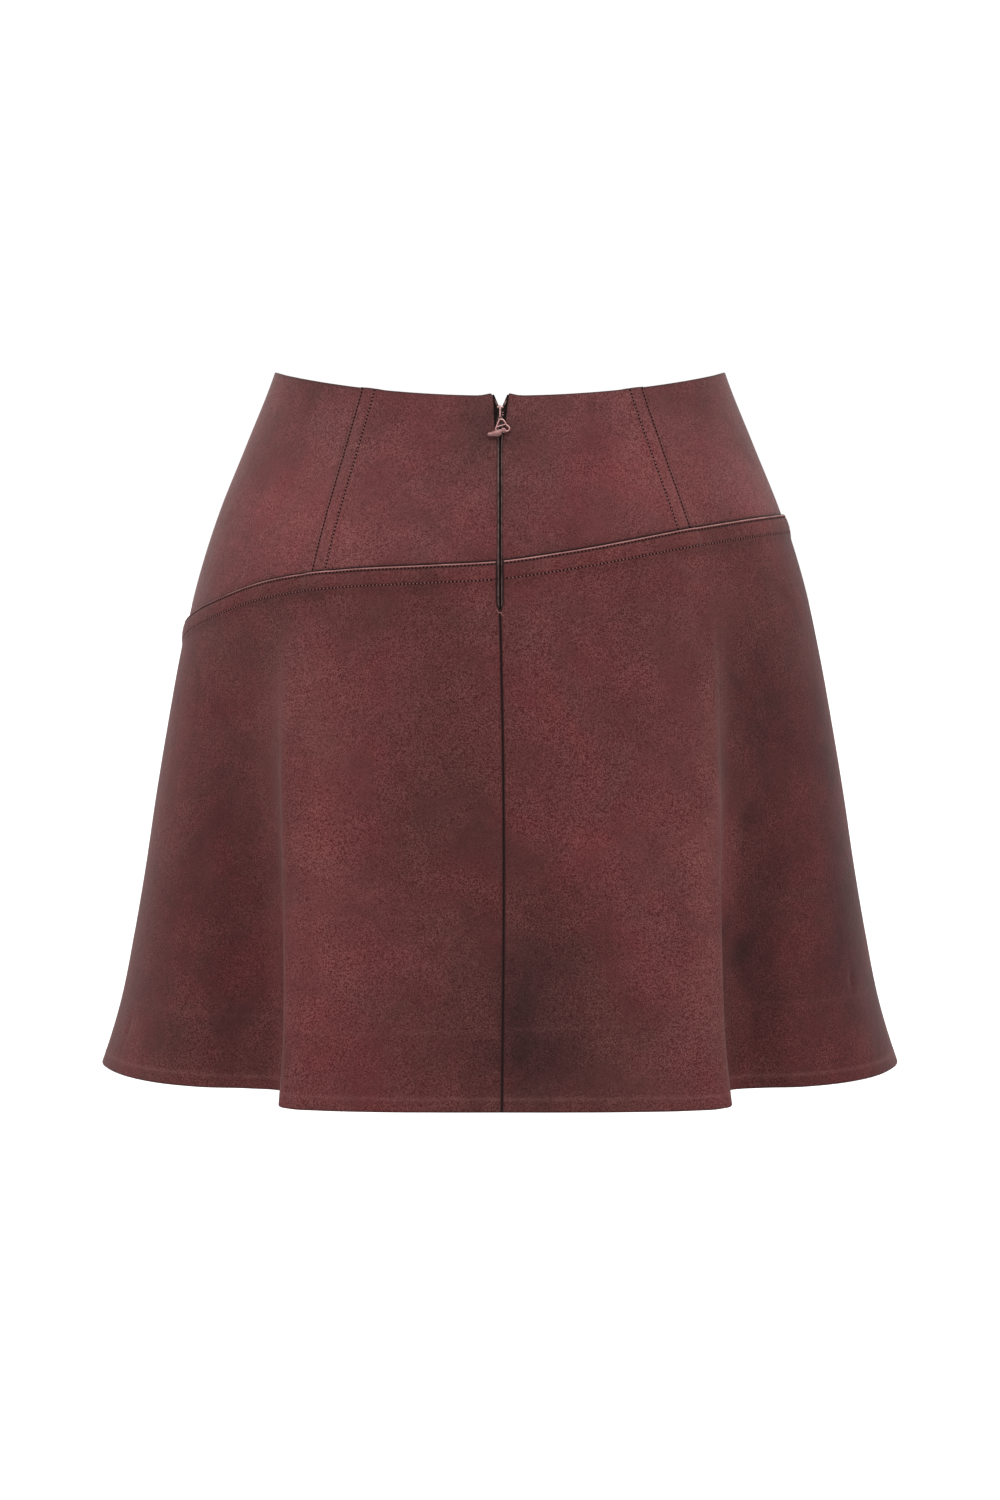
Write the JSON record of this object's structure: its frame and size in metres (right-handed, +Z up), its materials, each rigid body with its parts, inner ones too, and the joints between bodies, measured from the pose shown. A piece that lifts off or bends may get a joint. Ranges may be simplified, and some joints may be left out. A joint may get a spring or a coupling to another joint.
{
  "type": "leather skirt",
  "caption": "Short leather skirt, filled out as worn: fitted yoke, slanting yoke seam, back zip with a drop pull, flared lower part with deep folds, open at waist and hem.",
  "frame": {"origin": "centre of the waist opening, level with the waist edge at the side seams, where the wearer's waist holds the skirt", "axes": "+Z up along the body, -Y out of the back with the zip, +X the wearer's right"},
  "size_m": [0.4568, 0.2976, 0.3951],
  "materials": {
    "yoke_leather": "washed burgundy nubuck, dull, with a greyish bloom at the turned-away sides",
    "skirt_leather": "washed burgundy nubuck, dull, mottled",
    "zip_tape": "woven polyester tape, matt",
    "zip_metal": "rose brown enamel, satin"
  },
  "bodies": {
    "garment": {"yoke_centre_back_left": "yoke_leather", "yoke_centre_back_right": "yoke_leather", "yoke_side_back_left": "yoke_leather", "yoke_side_back_right": "yoke_leather", "yoke_front": "yoke_leather", "skirt_back_left": "skirt_leather", "skirt_back_right": "skirt_leather", "skirt_front": "skirt_leather", "zip_tape_left": "zip_tape", "zip_tape_right": "zip_tape", "zip_slider": "zip_metal"},
    "link": {"pull_link": "zip_metal"},
    "drop": {"pull_drop": "zip_metal"}
  },
  "joints": [
    {"name": "pull_lift", "type": "hinge", "parent": "garment", "child": "link", "pos_m": [0, -0.10257, -0.0235], "axis": [-1, 0, 0], "range_deg": [0, 140]},
    {"name": "drop_swing", "type": "hinge", "parent": "link", "child": "drop", "pos_m": [0.0019, -0.10486, -0.03116], "axis": [0, -0.9581, 0.2866], "range_deg": [-10, 145]}
  ]
}
